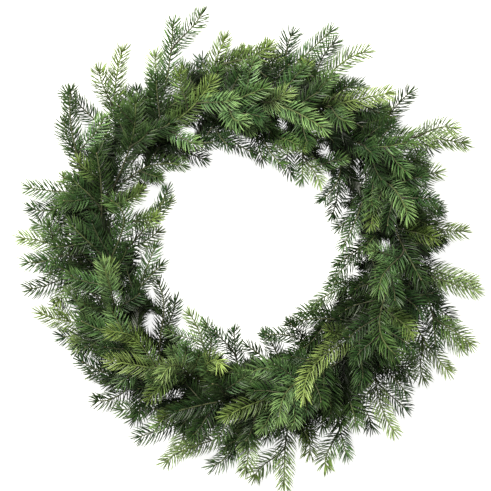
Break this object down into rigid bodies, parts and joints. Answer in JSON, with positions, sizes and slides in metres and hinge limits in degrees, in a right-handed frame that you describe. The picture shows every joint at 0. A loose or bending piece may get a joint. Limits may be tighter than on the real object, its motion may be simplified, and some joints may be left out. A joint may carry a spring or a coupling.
{
  "type": "evergreen wreath",
  "caption": "Round wreath of fir sprays that sweep clockwise round a wire ring with clamps, with an open centre, lying on its flat back; a seasonal decoration for a door, wall or table.",
  "frame": {"origin": "centre of the wire ring in the plane of its flat back, which is the middle of the wreath's base", "axes": "+Z out of the wreath's front along the ring's axis, away from the surface it lies on; +Y up in the picture; +X to the right as seen from the front"},
  "size_m": [0.6087, 0.6324, 0.1261],
  "materials": {
    "frame_wire": "satin",
    "foliage_outer": "satin",
    "foliage_front": "satin",
    "foliage_inner": "satin"
  },
  "bodies": {
    "root": {"wire_frame": "frame_wire", "spray_01_outer": "foliage_outer", "spray_01_front": "foliage_front", "spray_01_inner": "foliage_inner", "spray_02_outer": "foliage_outer", "spray_02_front": "foliage_front", "spray_02_inner": "foliage_inner", "spray_03_outer": "foliage_outer", "spray_03_front": "foliage_front", "spray_03_inner": "foliage_inner", "spray_04_outer": "foliage_outer", "spray_04_front": "foliage_front", "spray_04_inner": "foliage_inner", "spray_05_outer": "foliage_outer", "spray_05_front": "foliage_front", "spray_05_inner": "foliage_inner", "spray_06_outer": "foliage_outer", "spray_06_front": "foliage_front", "spray_06_inner": "foliage_inner", "spray_07_outer": "foliage_outer", "spray_07_front": "foliage_front", "spray_07_inner": "foliage_inner", "spray_08_outer": "foliage_outer", "spray_08_front": "foliage_front", "spray_08_inner": "foliage_inner", "spray_09_outer": "foliage_outer", "spray_09_front": "foliage_front", "spray_09_inner": "foliage_inner", "spray_10_outer": "foliage_outer", "spray_10_front": "foliage_front", "spray_10_inner": "foliage_inner", "spray_11_outer": "foliage_outer", "spray_11_front": "foliage_front", "spray_11_inner": "foliage_inner", "spray_12_outer": "foliage_outer", "spray_12_front": "foliage_front", "spray_12_inner": "foliage_inner", "spray_13_outer": "foliage_outer", "spray_13_front": "foliage_front", "spray_13_inner": "foliage_inner", "spray_14_outer": "foliage_outer", "spray_14_front": "foliage_front", "spray_14_inner": "foliage_inner", "spray_15_outer": "foliage_outer", "spray_15_front": "foliage_front", "spray_15_inner": "foliage_inner", "spray_16_outer": "foliage_outer", "spray_16_front": "foliage_front", "spray_16_inner": "foliage_inner", "spray_17_outer": "foliage_outer", "spray_17_front": "foliage_front", "spray_17_inner": "foliage_inner", "spray_18_outer": "foliage_outer", "spray_18_front": "foliage_front", "spray_18_inner": "foliage_inner"}
  },
  "joints": []
}
